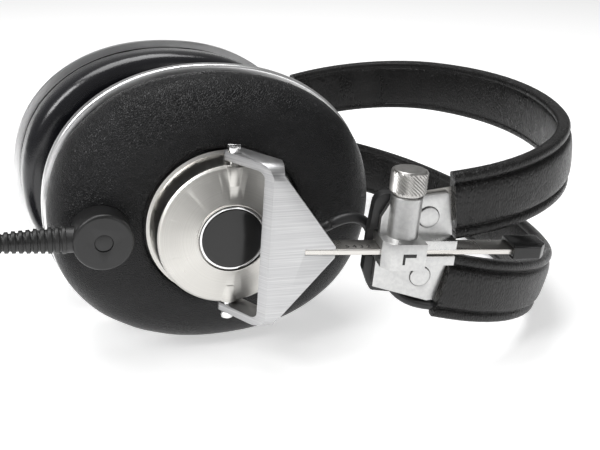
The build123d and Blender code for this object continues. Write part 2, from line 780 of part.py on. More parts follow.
relief_end = relief_start - RELIEF_LENGTH
outlet = (left_cup_home * Pos(relief_end, CORD_AXIS, PUCK_AT[1])).position
ahead = (left_cup_home * Pos(relief_end - 15, CORD_AXIS, PUCK_AT[1])).position
coil_x, coil_y = COIL_AT
coil_top = COIL_HEIGHT + CORD_R - CORD_SINK
joins_y = coil_y - COIL_R

cord_run = tube(
    [
        outlet,
        ahead,
        (ahead.X - 16, (ahead.Y + joins_y) / 2, ahead.Z - 14),
        (coil_x + 12, joins_y + 1, coil_top + 3),
        (coil_x - 4, joins_y, coil_top),
    ],
    CORD_R,
)

with BuildPart() as cord_coil:
    with BuildSketch(Plane.XZ.offset(-coil_y)):
        with Locations((coil_x + COIL_R, COIL_HEIGHT / 2)):
            RectangleRounded(COIL_WALL, COIL_HEIGHT, CORD_R)
    revolve(axis=Axis((coil_x, coil_y, 0), (0, 0, 1)))

tail_y = coil_y - COIL_R - COIL_WALL / 2 + CORD_R
tail_end = (coil_x - 40, tail_y + 32, JACK_BODY_R)

cord_tail = tube(
    [
        (coil_x, tail_y, CORD_R),
        (coil_x - 22, tail_y, CORD_R),
        (coil_x - 40, tail_y + 12.4, JACK_BODY_R),
        tail_end,
    ],
    CORD_R,
)

# the plug lies beside the coil and points along Y
plug_front = JACK_BODY

with BuildPart() as plug_shell:
    with BuildSketch(Plane.XY):
        with BuildLine():
            Polyline(
                (0, 0),
                (CORD_R + 1.2, 0),
                (JACK_BODY_R - 1.4, 9),
                (JACK_BODY_R - 1.4, 11),
                (JACK_BODY_R, 12),
                (JACK_BODY_R, plug_front - 3),
                (JACK_BODY_R - 0.6, plug_front),
                (0, plug_front),
                close=True,
            )
        make_face()
    revolve(axis=Axis.Y)

with BuildPart() as plug_shaft:
    with BuildSketch(Plane.XY):
        with BuildLine():
            Polyline(
                (0, plug_front),
                (JACK_R + 1.1, plug_front),
                (JACK_R + 1.1, plug_front + 1.6),
                (JACK_R, plug_front + 1.6),
                (JACK_R, plug_front + JACK - 7.2),
                (JACK_R - 0.9, plug_front + JACK - 5.6),
                (JACK_R, plug_front + JACK - 3.6),
                (0.8, plug_front + JACK),
                (0, plug_front + JACK),
                close=True,
            )
        make_face()
    revolve(axis=Axis.Y)

plug_home = Pos(*tail_end)

write_pair(cup_cover, "cup_cover", left_cup_home, right_cup_home)
write_pair(cup_shell, "cup_shell", left_cup_home, right_cup_home)
write_pair(chrome_ring, "chrome_ring", left_cup_home, right_cup_home)
write_pair(baffle, "baffle", left_cup_home, right_cup_home)
write_pair(driver_basket, "driver_basket", left_cup_home, right_cup_home)
write_pair(driver_magnet, "driver_magnet", left_cup_home, right_cup_home)
write_pair(driver_cone, "driver_cone", left_cup_home, right_cup_home)
write_pair(ear_pad, "ear_pad", left_cup_home, right_cup_home)
write_pair(pad_foam, "pad_foam", left_cup_home, right_cup_home)
write_pair(hub_housing, "hub_housing", left_cup_home, right_cup_home)
write_pair(hub_cap, "hub_cap", left_cup_home, right_cup_home)
write_pair(hub_cap_ring, "hub_cap_ring", left_cup_home, right_cup_home)
write_pair(yoke, "yoke", left_arm_home, right_arm_home)
write_pair(pivot_screws, "pivot_screws", left_arm_home, right_arm_home)
write_pair(slider_arm, "slider_arm", left_arm_home, right_arm_home)
write_pair(arm_end_cap, "arm_end_cap", left_arm_home, right_arm_home)
write_pair(clamp_casting, "clamp_casting", left_home, right_home)
write_pair(thumbscrew, "thumbscrew", left_home, right_home)
write_pair(backing_plate, "backing_plate", left_home, right_home)
write_pair(band_rivets, "band_rivets", left_home, right_home)
write_left(strap_upper, "strap_upper", band_home)
write_left(strap_lower, "strap_lower", band_home)
write_left(strap_core_upper, "strap_core_upper", band_home)
write_left(strap_core_lower, "strap_core_lower", band_home)
write_left(cable_puck, "cable_puck", left_cup_home)
write_left(puck_plug, "puck_plug", left_cup_home)
write_left(strain_relief, "strain_relief", left_cup_home)
write_left(cup_lead_left, "cup_lead_left", left_home)
write_right(cup_lead_right, "cup_lead_right", right_home)
write(cord_run.part, "cord_run")
write(cord_coil.part, "cord_coil")
write(cord_tail.part, "cord_tail")
write_left(plug_shell, "plug_shell", plug_home)
write_left(plug_shaft, "plug_shaft", plug_home)
coiled = COIL_TURNS * 2 * pi * COIL_R
print("coiled cord", round(coiled), "mm in", COIL_TURNS, "turns")
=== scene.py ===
from math import atan, cos, degrees, pi, radians, sin, tan

import bpy
from mathutils import Matrix, Vector


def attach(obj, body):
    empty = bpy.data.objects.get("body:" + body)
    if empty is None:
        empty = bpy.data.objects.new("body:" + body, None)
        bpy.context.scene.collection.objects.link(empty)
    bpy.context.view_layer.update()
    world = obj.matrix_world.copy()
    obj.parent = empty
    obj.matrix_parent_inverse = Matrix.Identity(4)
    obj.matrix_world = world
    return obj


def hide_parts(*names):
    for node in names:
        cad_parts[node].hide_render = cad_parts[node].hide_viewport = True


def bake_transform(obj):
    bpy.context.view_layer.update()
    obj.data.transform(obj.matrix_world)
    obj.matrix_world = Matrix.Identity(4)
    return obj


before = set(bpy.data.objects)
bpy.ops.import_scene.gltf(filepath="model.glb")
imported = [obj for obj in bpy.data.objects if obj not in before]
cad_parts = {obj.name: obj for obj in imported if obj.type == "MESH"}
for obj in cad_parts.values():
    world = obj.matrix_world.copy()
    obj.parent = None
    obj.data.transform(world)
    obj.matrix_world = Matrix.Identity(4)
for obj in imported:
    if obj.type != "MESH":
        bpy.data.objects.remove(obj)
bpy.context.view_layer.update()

MM = 0.001

# ---- how the assemblies stand: millimetres and degrees, the same values as the solids ----
LIE_TILT = 4.0  # the crown rests lower than the hinge axis
AXIS_HEIGHT = 47.125  # of the hinge centre above the table
MIDDLE_Y = 0.67  # of the head's middle plane
YOKE_X = -33.347  # of the yoke front, from the middle of the object
HALF_SPAN = 69.7  # yoke front to the middle plane of the head
ARM_TOE = 10.3  # each arm closes in towards the cups by this angle
PIVOT_X, PIVOT_Y = -10.8, 15.0  # of the cup's hinge, in the side frame
CUP_TURN = 8.2  # of the cup on its hinge
RIGHT_PULL = 7.5  # the right arm is pulled out further than the left
CLAMP_X = 43.7  # of the thumbscrew, in the side frame
CORD_AXIS = 4.3  # depth of the cord outlet behind the hinge axis
OUTLET_Z = -0.7  # of the cord outlet from the cup's middle
table = Matrix.Translation((0, MIDDLE_Y, AXIS_HEIGHT)) @ Matrix.Rotation(radians(LIE_TILT), 4, "Y")


def swing(x, y, about_z):
    return Matrix.Translation((x, y, 0)) @ Matrix.Rotation(radians(about_z), 4, "Z")


SIDES = ("left", "right")
SIGN = {"left": 1, "right": -1}
metres = Matrix.Scale(MM, 4)
side_home, arm_home, cup_home = {}, {}, {}
for side in SIDES:
    s = SIGN[side]
    plain = table @ swing(YOKE_X, -s * HALF_SPAN, -s * ARM_TOE)
    pulled = plain @ swing(0 if side == "left" else -RIGHT_PULL, 0, 0)
    cup = pulled @ swing(PIVOT_X, s * PIVOT_Y, s * CUP_TURN)
    flip = Matrix.Diagonal((1, s, 1, 1))
    side_home[side] = metres @ plain @ flip
    arm_home[side] = metres @ pulled @ flip
    cup_home[side] = metres @ cup @ flip
band_home = metres @ table @ Matrix.Translation((YOKE_X, 0, 0))


# ---- helpers for modelling ----
def only(obj):
    bpy.ops.object.select_all(action="DESELECT")
    obj.select_set(True)
    bpy.context.view_layer.objects.active = obj


def place(obj, home):
    """Moves a piece modelled in millimetres to where it lies, in metres, and applies that."""
    only(obj)
    obj.matrix_world = home
    bpy.ops.object.transform_apply(location=True, rotation=True, scale=True)
    if home.determinant() < 0:
        bpy.ops.object.mode_set(mode="EDIT")
        bpy.ops.mesh.select_all(action="SELECT")
        bpy.ops.mesh.normals_make_consistent(inside=False)
        bpy.ops.object.mode_set(mode="OBJECT")


def apply_modifiers(obj):
    only(obj)
    for modifier in list(obj.modifiers):
        bpy.ops.object.modifier_apply(modifier=modifier.name)


def bevel_edges(obj, width, angle):
    """Breaks the edges that are sharper than the angle."""
    bevel = obj.modifiers.new("edges", "BEVEL")
    bevel.width = width * MM
    bevel.segments = 2
    bevel.limit_method = "ANGLE"
    bevel.angle_limit = radians(angle)
    apply_modifiers(obj)


def smooth(obj, angle):
    only(obj)
    bpy.ops.object.shade_smooth_by_angle(angle=radians(angle))


def dress(obj, material, body):
    obj.data.materials.clear()
    obj.data.materials.append(material)
    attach(obj, body)


def merged_copy(node, name):
    """A copy of a solid's mesh with its triangles joined and its flat faces whole."""
    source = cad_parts[node]
    obj = bpy.data.objects.new(name, source.data.copy())
    bpy.context.scene.collection.objects.link(obj)
    only(obj)
    bpy.ops.object.mode_set(mode="EDIT")
    bpy.ops.mesh.select_all(action="SELECT")
    bpy.ops.mesh.remove_doubles(threshold=0.000004)
    bpy.ops.mesh.dissolve_limited(angle_limit=radians(0.3))
    bpy.ops.object.mode_set(mode="OBJECT")
    return obj


def machined(node, body, material, edge):
    """A hard piece: the solid's own shape, with its edges broken by this much."""
    obj = merged_copy(node, node + "_made")
    if edge:
        bevel_edges(obj, edge, 28)
    smooth(obj, 32)
    dress(obj, material, body)
    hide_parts(node)
    return obj


def soft_copy(node, body, material, voxel, rounds, waves, size):
    """A soft piece: the solid's shape remeshed, relaxed and lightly uneven."""
    obj = merged_copy(node, node + "_made")
    remesh = obj.modifiers.new("skin", "REMESH")
    remesh.mode = "VOXEL"
    remesh.voxel_size = voxel * MM
    relax = obj.modifiers.new("relax", "SMOOTH")
    relax.factor = 0.5
    relax.iterations = rounds
    clouds = bpy.data.textures.new(node + "_waves", "CLOUDS")
    clouds.noise_scale = size * MM
    clouds.noise_depth = 2
    ripple = obj.modifiers.new("ripple", "DISPLACE")
    ripple.texture = clouds
    ripple.texture_coords = "LOCAL"
    ripple.strength = waves * MM
    ripple.mid_level = 0.5
    apply_modifiers(obj)
    bpy.ops.object.shade_smooth()
    dress(obj, material, body)
    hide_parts(node)
    return obj


def nurbs(name, points, radius):
    """A cord on one smooth line, its points in metres where it lies."""
    curve = bpy.data.curves.new(name, "CURVE")
    curve.dimensions = "3D"
    line = curve.splines.new("NURBS")
    line.points.add(len(points) - 1)
    for spot, point in zip(line.points, points):
        spot.co = (*point, 1)
    line.order_u = 3
    line.use_endpoint_u = True
    curve.resolution_u = 5
    curve.bevel_depth = radius
    curve.bevel_resolution = 5
    curve.use_fill_caps = True
    obj = bpy.data.objects.new(name, curve)
    bpy.context.scene.collection.objects.link(obj)
    return obj


def to_mesh(obj):
    only(obj)
    bpy.ops.object.convert(target="MESH")
    obj = bpy.context.view_layer.objects.active
    bpy.ops.object.mode_set(mode="EDIT")
    bpy.ops.mesh.select_all(action="SELECT")
    bpy.ops.mesh.remove_doubles(threshold=0.000002)
    bpy.ops.mesh.normals_make_consistent(inside=False)
    bpy.ops.object.mode_set(mode="OBJECT")
    return obj


# ---- camera ----
LENS = 46.26
CAMERA_AT = (-0.10124, -0.27535, 0.15216)
view_right = Vector((0.93699, -0.34919, 0.01063))
view_down = Vector((-0.12865, -0.37316, -0.91880))
view_ahead = Vector((0.32480, 0.85954, -0.39457))
camera_data = bpy.data.cameras.new("camera")
camera_data.sensor_width = 36
camera_data.lens = LENS
camera_data.clip_start = 0.01
camera = bpy.data.objects.new("camera", camera_data)
bpy.context.scene.collection.objects.link(camera)
turn = Matrix((view_right, -view_down, -view_ahead)).transposed().to_4x4()
camera.matrix_world = Matrix.Translation(CAMERA_AT) @ turn
bpy.context.scene.camera = camera


# ---- materials ----
def shader_group(name, inputs, outputs):
    group = bpy.data.node_groups.new(name, "ShaderNodeTree")
    for label, kind, value in inputs:
        socket = group.interface.new_socket(label, in_out="INPUT", socket_type=kind)
        if value is not None:
            socket.default_value = value
    for label, kind in outputs:
        group.interface.new_socket(label, in_out="OUTPUT", socket_type=kind)
    return group, group.nodes.new("NodeGroupInput"), group.nodes.new("NodeGroupOutput")


def link(tree, out, into):
    tree.links.new(out, into)


def math_node(tree, kind, first, second=None):
    node = tree.nodes.new("ShaderNodeMath")
    node.operation = kind
    for index, value in enumerate((first, second)):
        if value is None:
            continue
        if isinstance(value, (int, float)):
            node.inputs[index].default_value = value
        else:
            link(tree, value, node.inputs[index])
    return node.outputs[0]


def vector_node(tree, kind, vector, fixed=None):
    node = tree.nodes.new("ShaderNodeVectorMath")
    node.operation = kind
    link(tree, vector, node.inputs[0])
    if fixed is not None:
        node.inputs[1].default_value = fixed
    return node


def noise_node(tree, vector, scale, detail=2.0, rough=0.5):
    node = tree.nodes.new("ShaderNodeTexNoise")
    node.inputs["Detail"].default_value = detail
    node.inputs["Roughness"].default_value = rough
    if isinstance(scale, (int, float)):
        node.inputs["Scale"].default_value = scale
    else:
        link(tree, scale, node.inputs["Scale"])
    link(tree, vector, node.inputs["Vector"])
    return node.outputs[0]


# leather grain: pebbles of one size broken up by larger creases
grain, g_in, g_out = shader_group(
    "leather_grain",
    [
        ("Vector", "NodeSocketVector", None),
        ("Pebbles", "NodeSocketFloat", 900.0),
        ("Creases", "NodeSocketFloat", 60.0),
    ],
    [("Height", "NodeSocketFloat"), ("Patches", "NodeSocketFloat")],
)
cells = grain.nodes.new("ShaderNodeTexVoronoi")
cells.feature = "DISTANCE_TO_EDGE"
link(grain, g_in.outputs["Vector"], cells.inputs["Vector"])
link(grain, g_in.outputs["Pebbles"], cells.inputs["Scale"])
pebble = math_node(grain, "MINIMUM", cells.outputs["Distance"], 0.25)
fine = noise_node(grain, g_in.outputs["Vector"], g_in.outputs["Pebbles"], 2)
wide = noise_node(grain, g_in.outputs["Vector"], g_in.outputs["Creases"], 4, 0.6)
fold = math_node(grain, "ABSOLUTE", math_node(grain, "SUBTRACT", wide, 0.5))
raised = math_node(grain, "MULTIPLY", pebble, 1.6)
rough_skin = math_node(grain, "MULTIPLY", fine, 0.35)
folded = math_node(grain, "MULTIPLY", fold, 1.5)
skin = math_node(grain, "ADD", raised, rough_skin)
link(grain, math_node(grain, "ADD", skin, folded), g_out.inputs["Height"])
link(grain, wide, g_out.inputs["Patches"])

# brushing: fine lines along one axis, with smudges
brushing, b_in, b_out = shader_group(
    "brushing",
    [
        ("Vector", "NodeSocketVector", None),
        ("Along", "NodeSocketVector", (30.0, 2500.0, 2500.0)),
        ("Smudges", "NodeSocketFloat", 45.0),
    ],
    [("Lines", "NodeSocketFloat"), ("Smudge", "NodeSocketFloat")],
)
stretch = brushing.nodes.new("ShaderNodeVectorMath")
stretch.operation = "MULTIPLY"
link(brushing, b_in.outputs["Vector"], stretch.inputs[0])
link(brushing, b_in.outputs["Along"], stretch.inputs[1])
link(brushing, noise_node(brushing, stretch.outputs[0], 1.0, 3, 0.6), b_out.inputs["Lines"])
smears = noise_node(brushing, b_in.outputs["Vector"], b_in.outputs["Smudges"], 4, 0.6)
link(brushing, smears, b_out.inputs["Smudge"])


def ramp(tree, value, low, high, start=0.3, stop=0.7):
    node = tree.nodes.new("ShaderNodeMapRange")
    node.inputs["From Min"].default_value = start
    node.inputs["From Max"].default_value = stop
    node.inputs["To Min"].default_value = low
    node.inputs["To Max"].default_value = high
    link(tree, value, node.inputs["Value"])
    return node.outputs[0]


def tint(tree, value, dark, light, start=0.3, stop=0.7):
    node = tree.nodes.new("ShaderNodeValToRGB")
    node.color_ramp.elements[0].position = start
    node.color_ramp.elements[0].color = (*dark, 1)
    node.color_ramp.elements[1].position = stop
    node.color_ramp.elements[1].color = (*light, 1)
    link(tree, value, node.inputs["Fac"])
    return node.outputs["Color"]


def bump(tree, height, distance):
    node = tree.nodes.new("ShaderNodeBump")
    node.inputs["Strength"].default_value = 1.0
    node.inputs["Distance"].default_value = distance
    link(tree, height, node.inputs["Height"])
    return node.outputs["Normal"]


def grey(level):
    return (level, level, level)


def start_material(name, metallic=0.0, **fixed):
    material = bpy.data.materials.new(name)
    material.use_nodes = True
    tree = material.node_tree
    shader = tree.nodes["Principled BSDF"]
    shader.inputs["Metallic"].default_value = metallic
    for label, value in fixed.items():
        shader.inputs[label.replace("_", " ")].default_value = value
    place_of = tree.nodes.new("ShaderNodeTexCoord").outputs["Object"]
    return material, tree, shader, place_of


def leather(name, dark, light, rough, pebbles, creases, depth, stretch_by=(1, 1, 1), coat=0.0):
    """Grained leather or vinyl; a coat makes it shine as if polished."""
    finish = {"Coat_Weight": coat, "Coat_Roughness": 0.25, "Specular_IOR_Level": 0.3}
    material, tree, shader, spot = start_material(name, **finish)
    mapping = tree.nodes.new("ShaderNodeMapping")
    mapping.inputs["Scale"].default_value = stretch_by
    link(tree, spot, mapping.inputs["Vector"])
    use = tree.nodes.new("ShaderNodeGroup")
    use.node_tree = grain
    use.inputs["Pebbles"].default_value = pebbles
    use.inputs["Creases"].default_value = creases
    link(tree, mapping.outputs[0], use.inputs["Vector"])
    link(tree, tint(tree, use.outputs["Patches"], dark, light), shader.inputs["Base Color"])
    link(tree, ramp(tree, use.outputs["Patches"], rough[0], rough[1]), shader.inputs["Roughness"])
    link(tree, bump(tree, use.outputs["Height"], depth), shader.inputs["Normal"])
    return material


def metal(name, dark, light, rough, along, depth):
    """Bare metal, brushed along one axis and smudged."""
    material, tree, shader, spot = start_material(name, 1.0)
    use = tree.nodes.new("ShaderNodeGroup")
    use.node_tree = brushing
    use.inputs["Along"].default_value = along
    use.inputs["Smudges"].default_value = 45.0
    link(tree, spot, use.inputs["Vector"])
    link(tree, tint(tree, use.outputs["Lines"], dark, light, 0.25, 0.75), shader.inputs["Base Color"])
    smeared = ramp(tree, use.outputs["Smudge"], rough[0], rough[1])
    scratched = ramp(tree, use.outputs["Lines"], -0.03, 0.03)
    link(tree, math_node(tree, "ADD", smeared, scratched), shader.inputs["Roughness"])
    if depth:
        link(tree, bump(tree, use.outputs["Lines"], depth), shader.inputs["Normal"])
    return material


def plain_plastic(name, dark, light, rough, texture, depth, **fixed):
    """Moulded plastic, rubber, foam, paper or ink, with a fine texture."""
    material, tree, shader, spot = start_material(name, **fixed)
    wide = noise_node(tree, spot, 70.0, 4, 0.6)
    link(tree, tint(tree, wide, dark, light), shader.inputs["Base Color"])
    link(tree, ramp(tree, wide, rough[0], rough[1]), shader.inputs["Roughness"])
    link(tree, bump(tree, noise_node(tree, spot, texture, 3), depth), shader.inputs["Normal"])
    return material


cover_leather = leather(
    "cover_leather", (0.0045, 0.0045, 0.005), (0.009, 0.009, 0.010), (0.26, 0.38), 1500.0, 50.0, 0.00028
)
strap_leather = leather(
    "strap_leather",
    (0.005, 0.0048, 0.0048),
    (0.012, 0.0115, 0.0115),
    (0.24, 0.38),
    1300.0,
    110.0,
    0.00032,
    stretch_by=(1, 1, 0.35),
    coat=0.1,
)
pad_vinyl = leather(
    "pad_vinyl", (0.004, 0.004, 0.006), (0.009, 0.009, 0.012), (0.10, 0.18), 1100.0, 55.0, 0.00003, coat=0.8
)
chrome = metal("chrome", grey(0.80), grey(0.88), (0.05, 0.14), (60, 60, 60), 0)
trim_chrome = metal("trim_chrome", grey(0.86), grey(0.95), (0.28, 0.38), (60, 60, 60), 0)
knurled_steel = metal(
    "knurled_steel", (0.42, 0.41, 0.40), (0.60, 0.59, 0.57), (0.28, 0.40), (400, 400, 400), 0
)
steel = metal("steel", (0.55, 0.53, 0.50), (0.72, 0.70, 0.67), (0.22, 0.34), (25, 25, 2600), 0.000012)
brushed_aluminium = metal(
    "brushed_aluminium", (0.40, 0.40, 0.41), grey(0.62), (0.32, 0.44), (28, 28, 2600), 0.00004
)
cast_aluminium = metal(
    "cast_aluminium", grey(0.50), (0.62, 0.62, 0.61), (0.26, 0.40), (700, 700, 700), 0.00002
)
black_gloss = plain_plastic("black_gloss", grey(0.006), grey(0.012), (0.12, 0.24), 900.0, 0.00001)
black_matte = plain_plastic(
    "black_matte", grey(0.012), (0.022, 0.022, 0.023), (0.32, 0.46), 1800.0, 0.00003
)
shell_plastic = plain_plastic("shell_plastic", grey(0.015), grey(0.025), (0.4, 0.55), 1500.0, 0.00003)
foam = plain_plastic(
    "foam", (0.018, 0.018, 0.020), (0.055, 0.055, 0.058), (0.85, 1.0), 1400.0, 0.0004, Specular_IOR_Level=0.15
)
rubber = plain_plastic("rubber", grey(0.012), grey(0.024), (0.34, 0.5), 1500.0, 0.00003)
cord_sheath = plain_plastic(
    "cord_sheath", (0.012, 0.012, 0.013), (0.022, 0.022, 0.023), (0.28, 0.42), 1200.0, 0.00002
)
ink = plain_plastic("ink", grey(0.006), grey(0.012), (0.4, 0.5), 1500.0, 0.00001)
cone_paper = plain_plastic(
    "cone_paper", (0.08, 0.075, 0.07), (0.14, 0.13, 0.12), (0.7, 0.85), 1500.0, 0.00005
)


def turned(side):
    """Turned metal: rings round the hub's axis, and the long highlights that such rings give."""
    home = cup_home[side]
    centre = home.translation
    axis = (home.to_3x3() @ Vector((0, 1, 0))).normalized()
    material, tree, shader, spot = start_material("turned_aluminium_" + side, 1.0, Anisotropic=0.9)
    from_centre = vector_node(tree, "SUBTRACT", spot, centre)
    across = vector_node(tree, "CROSS_PRODUCT", from_centre.outputs[0], axis)
    length = vector_node(tree, "LENGTH", across.outputs[0])
    unit = vector_node(tree, "NORMALIZE", across.outputs[0])
    link(tree, unit.outputs[0], shader.inputs["Tangent"])
    rings = tree.nodes.new("ShaderNodeCombineXYZ")
    link(tree, length.outputs["Value"], rings.inputs[0])
    lines = noise_node(tree, rings.outputs[0], 4200.0, 3, 0.6)
    smudge = noise_node(tree, spot, 60.0, 4, 0.6)
    colour = tint(tree, lines, (0.52, 0.51, 0.48), (0.70, 0.685, 0.655), 0.25, 0.75)
    link(tree, colour, shader.inputs["Base Color"])
    link(tree, ramp(tree, smudge, 0.26, 0.36), shader.inputs["Roughness"])
    link(tree, bump(tree, lines, 0.000015), shader.inputs["Normal"])
    return material


turned_metal = {side: turned(side) for side in SIDES}

# ---- the free cord: out of the relief, down to its coil, and on to the plug ----
CORD_R = 2.2
COIL_X, COIL_Y = -166.0, -20.0
COIL_R = 26.0  # at the middle of the turns
COIL_WALL = 13.2  # three turns side by side
LAYERS, TURNS, PER_TURN = 5, 14, 16  # five nested layers, three turns side by side
COLUMN_STEP, NESTING = 4.45, 0.9  # between the turns of a layer, and of each layer to one side
TOP_LAYER, LAYER_STEP = 18.2, 4.0  # height of the top turns, and down to each layer below
CLIMB_FROM = 0.7  # share of a turn after which it moves over to the next
HULL_ALLOWANCE = 1.018  # the line cuts inside its points, so the rings are made this much larger
ARRIVAL = (2.6, 1.5, 0.5)  # the cord settles on the coil over its first points
SKIPPED = 2  # points of the first turn that the arriving cord takes up
outlet = cup_home["left"] @ Vector((-72.2, CORD_AXIS, OUTLET_Z))
ahead = cup_home["left"] @ Vector((-87.2, CORD_AXIS, OUTLET_Z))
joins_y = COIL_Y - COIL_R
cord_points = [
    outlet,
    ahead,
    Vector((ahead.x - 0.016, (ahead.y + joins_y * MM) / 2, ahead.z - 0.014)),
    Vector((COIL_X + 12, joins_y + 1, 24.6)) * MM,
]
# the turns, from the top down: radius and height of each
turns = []
for layer in range(LAYERS):
    odd = layer % 2
    columns = (-1, 0, 1) if odd else (1, 0, -1)
    shift = NESTING if odd else -NESTING
    for column in columns:
        turns.append((COIL_R + COLUMN_STEP * column + shift, TOP_LAYER - LAYER_STEP * layer))
turns = turns[1:]
for step in range(TURNS * PER_TURN - SKIPPED):
    index, part = divmod(step + SKIPPED, PER_TURN)
    here = turns[index]
    after = turns[min(index + 1, TURNS - 1)]
    ease = max(0.0, (part / PER_TURN - CLIMB_FROM) / (1 - CLIMB_FROM))
    ease = ease * ease * (3 - 2 * ease)
    ring = (here[0] + (after[0] - here[0]) * ease) * HULL_ALLOWANCE
    height = here[1] + (after[1] - here[1]) * ease
    if step < len(ARRIVAL):
        height += ARRIVAL[step]
    angle = radians(-90) - 2 * pi * (step + SKIPPED) / PER_TURN
    cord_points.append(Vector((COIL_X + ring * cos(angle), COIL_Y + ring * sin(angle), height)) * MM)
tail_y = COIL_Y - COIL_R - COIL_WALL / 2 + CORD_R
cord_points += [
    Vector((COIL_X - 1, tail_y, CORD_R)) * MM,
    Vector((COIL_X - 22, tail_y, CORD_R)) * MM,
    Vector((COIL_X - 40, tail_y + 12.4, 6.0)) * MM,
    Vector((COIL_X - 40, tail_y + 32.4, 6.0)) * MM,
]
cord = nurbs("free_cord", cord_points, CORD_R * MM)
cord.data.materials.append(cord_sheath)
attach(cord, "cup_left")
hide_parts("cord_run", "cord_coil", "cord_tail")

plug_shell = machined("plug_shell", "cup_left", black_gloss, 0.3)
plug_shaft = machined("plug_shaft", "cup_left", chrome, 0.1)

# ---- leads between the cups and the headband ----
LEAD_R = 1.8
LEAD_EXIT = (31.0, 9.5, 0.5)  # in the cup frame, beside the hub
for side in SIDES:
    pull = 0 if side == "left" else RIGHT_PULL
    home = side_home[side]
    leaves = swing(PIVOT_X, PIVOT_Y, CUP_TURN) @ Vector(LEAD_EXIT) - Vector((pull, 0, 0))
    back = Vector((leaves.x, 13.0, 2.4))
    middle = Vector((leaves.x + 3.5, 14.0, 4.0))
    on_cup = [leaves, leaves + Vector((0, -5, 0)), back, middle]
    on_band = [
        middle,
        Vector((28.0 - pull / 2, 14.4, 7.2)),
        Vector((35.6, 14.8, 4.4)),
        Vector((40.0, 14.2, -8.0)),
        Vector((46.0, 14.0, -20.6)),
        Vector((54.5, 9.6, -24.4)),
        Vector((60.5, 5.6, -22.4)),
    ]
    arm_lead = to_mesh(nurbs("arm_lead_" + side, [home @ p for p in on_cup], LEAD_R * MM))
    band_lead = to_mesh(nurbs("band_lead_" + side, [home @ p for p in on_band], LEAD_R * MM))
    for piece in (arm_lead, band_lead):
        piece.data.materials.append(cord_sheath)
        only(piece)
        bpy.ops.object.shade_smooth()
    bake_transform(arm_lead)
    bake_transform(band_lead)
    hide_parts("cup_lead_" + side)

# ---- hard pieces: node, body, material and how far the edges are broken ----
for side in SIDES:
    cup, arm = "cup_" + side, "arm_" + side
    machined("chrome_ring_" + side, cup, trim_chrome, 0)
    machined("baffle_" + side, cup, shell_plastic, 0.1)
    machined("cup_shell_" + side, cup, shell_plastic, 0)
    machined("driver_basket_" + side, cup, steel, 0)
    machined("driver_magnet_" + side, cup, steel, 0)
    machined("driver_cone_" + side, cup, cone_paper, 0)
    machined("hub_housing_" + side, cup, turned_metal[side], 0.15)
    machined("hub_cap_" + side, cup, black_gloss, 0)
    machined("hub_cap_ring_" + side, cup, chrome, 0.1)
    machined("yoke_" + side, arm, brushed_aluminium, 0.22)
    machined("pivot_screws_" + side, arm, chrome, 0.15)
    machined("slider_arm_" + side, arm, steel, 0.08)
    machined("arm_end_cap_" + side, arm, black_gloss, 0.3)
    machined("clamp_casting_" + side, "headband", cast_aluminium, 0.3)
    machined("backing_plate_" + side, "headband", black_matte, 0.4)
    machined("band_rivets_" + side, "headband", cast_aluminium, 0.12)
    machined("thumbscrew_" + side, "thumb_" + side, knurled_steel, 0.1)
machined("strap_core_upper", "headband", steel, 0)
machined("strap_core_lower", "headband", steel, 0)
machined("cable_puck", "cup_left", black_matte, 0.2)
machined("puck_plug", "cup_left", black_matte, 0.2)
machined("strain_relief", "cup_left", rubber, 0.25)

# ---- knurling of the thumbscrews: a sleeve whose points stand up in a diamond pattern ----
KNOB_Y = 4.1  # of the screw behind the yoke front
KNURL_R, TOOTH = 5.32, 0.3
KNURL_BOTTOM, KNURL_TOP = 19.5, 26.4
AROUND, ROWS = 56, 13
row_step = (KNURL_TOP - KNURL_BOTTOM) / ROWS
for side in SIDES:
    bpy.ops.object.select_all(action="DESELECT")
    foot = (CLAMP_X, KNOB_Y, KNURL_BOTTOM)
    bpy.ops.mesh.primitive_circle_add(vertices=AROUND, radius=KNURL_R, location=foot)
    knurl = bpy.context.active_object
    knurl.name = "knob_knurl_" + side
    bpy.ops.object.transform_apply(location=True, rotation=True, scale=True)
    bpy.ops.object.mode_set(mode="EDIT")
    bpy.ops.mesh.select_all(action="SELECT")
    for row in range(ROWS):
        bpy.ops.mesh.extrude_region_move(TRANSFORM_OT_translate={"value": (0, 0, row_step)})
    bpy.ops.object.mode_set(mode="OBJECT")
    for vertex in knurl.data.vertices:
        row = round((vertex.co.z - KNURL_BOTTOM) / row_step)
        reach = Vector((vertex.co.x - CLAMP_X, vertex.co.y - KNOB_Y, 0))
        column = round(degrees(Vector((1, 0)).angle_signed(reach.xy)) / 360 * AROUND)
        if (row + column) % 2 == 0 and 0 < row < ROWS:
            vertex.co += reach.normalized() * TOOTH
    place(knurl, side_home[side])
    wall = knurl.modifiers.new("wall", "SOLIDIFY")
    wall.thickness = 0.4 * MM
    wall.offset = -1
    apply_modifiers(knurl)
    dress(knurl, knurled_steel, "thumb_" + side)


def lettering(name, text, size, rise, swell=0.0):
    """Raised text, centred on the origin and facing up."""
    bpy.ops.object.select_all(action="DESELECT")
    bpy.ops.object.text_add()
    mark = bpy.context.active_object
    mark.name = name
    mark.data.body = text
    mark.data.size = size
    mark.data.align_x = "CENTER"
    mark.data.align_y = "CENTER"
    mark.data.extrude = rise
    mark.data.offset = swell
    bpy.ops.object.convert(target="MESH")
    return bpy.context.active_object


